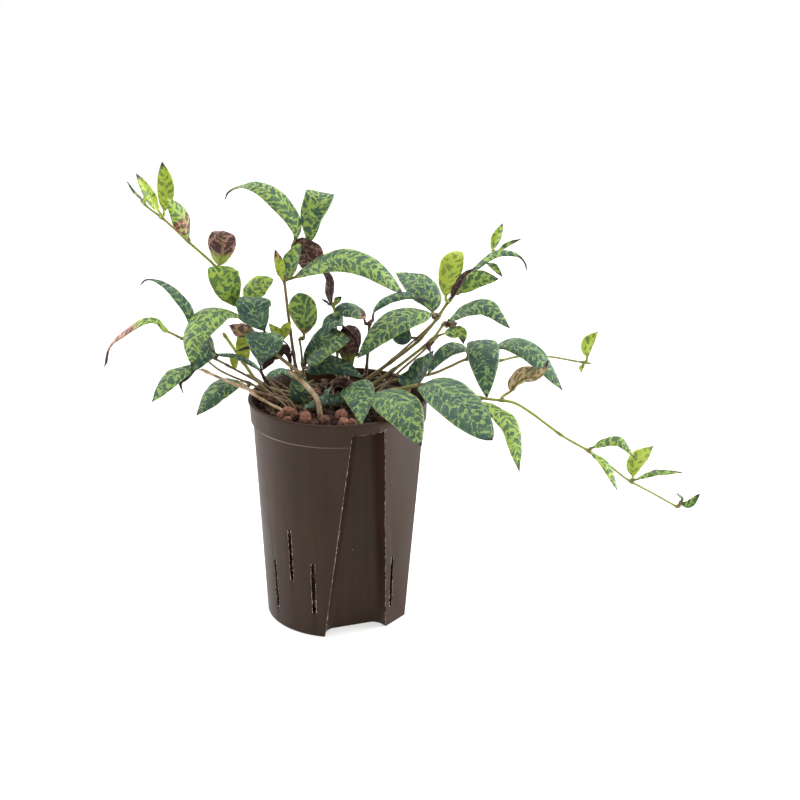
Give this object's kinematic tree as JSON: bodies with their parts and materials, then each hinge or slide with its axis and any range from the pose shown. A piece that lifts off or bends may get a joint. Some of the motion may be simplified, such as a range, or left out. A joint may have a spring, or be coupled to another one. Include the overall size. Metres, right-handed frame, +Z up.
{
  "type": "potted lipstick plant",
  "caption": "Marbled lipstick plant with arching stems and trailing tendrils, rooted in clay granules in a brown plastic grow pot with a recess for a water gauge.",
  "frame": {"origin": "centre of the pot's base, on the surface it stands on", "axes": "+Z up along the pot's axis, -Y towards the viewer of the picture, +X along the longest reach of the stems, to the viewer's right"},
  "size_m": [0.4751, 0.1938, 0.3742],
  "materials": {
    "pot_plastic": "satin injection-moulded",
    "fired_clay": "rough fired clay",
    "roots": "fibrous",
    "olive_stem": "smooth young bark",
    "old_stem": "dry pale bark",
    "marbled_leaf": "waxy, dark green netted with yellow-green, maroon below",
    "young_leaf": "waxy, yellow-green with darker marbling"
  },
  "bodies": {
    "root": {"grow_pot": "pot_plastic", "clay_granules": "fired_clay", "root_ball": "roots", "old_cut_stem": "old_stem", "left_long_stem": "olive_stem", "left_pale_stem": "old_stem", "left_olive_stem": "olive_stem", "left_thin_stem": "olive_stem", "left_low_stem": "olive_stem", "upright_stem": "olive_stem", "short_stem": "olive_stem", "centre_stem": "olive_stem", "right_stem": "olive_stem", "right_low_stem": "olive_stem", "back_tendril": "olive_stem", "front_tendril": "olive_stem", "left_tip_leaf_small": "young_leaf", "left_tip_leaf_left": "young_leaf", "left_tip_leaf_right": "young_leaf", "left_bulging_leaf": "marbled_leaf", "left_cupped_leaf": "marbled_leaf", "left_bright_leaf": "young_leaf", "left_bright_leaf_small": "young_leaf", "left_teal_leaf": "marbled_leaf", "left_arching_leaf": "marbled_leaf", "left_thin_arching_leaf": "marbled_leaf", "left_far_leaf": "marbled_leaf", "left_low_leaf": "marbled_leaf", "left_rim_leaf": "marbled_leaf", "left_folded_leaf": "marbled_leaf", "upright_long_leaf": "marbled_leaf", "upright_maroon_leaf": "marbled_leaf", "upright_arching_leaf": "marbled_leaf", "upright_top_leaf": "marbled_leaf", "centre_bright_leaf": "young_leaf", "centre_wide_leaf": "marbled_leaf", "centre_dark_leaf": "marbled_leaf", "centre_light_leaf": "marbled_leaf", "centre_thin_leaf": "marbled_leaf", "right_long_leaf": "marbled_leaf", "right_teal_leaf": "marbled_leaf", "right_yellow_leaf": "young_leaf", "right_green_leaf": "marbled_leaf", "right_tip_leaf": "young_leaf", "right_tip_leaf_long": "young_leaf", "right_arching_leaf": "marbled_leaf", "right_folded_leaf": "marbled_leaf", "right_hanging_leaf": "marbled_leaf", "right_far_leaf": "marbled_leaf", "front_large_leaf": "marbled_leaf", "front_rim_leaf_left": "marbled_leaf", "front_rim_leaf_right": "marbled_leaf", "tendril_brown_leaf": "young_leaf", "tendril_bright_leaf": "young_leaf", "tendril_upper_leaf": "young_leaf", "tendril_lower_leaf": "young_leaf", "tendril_end_leaf_upper": "young_leaf", "tendril_end_leaf_right": "young_leaf", "tendril_tip_leaf": "young_leaf", "back_tendril_leaf": "young_leaf"}
  },
  "joints": []
}
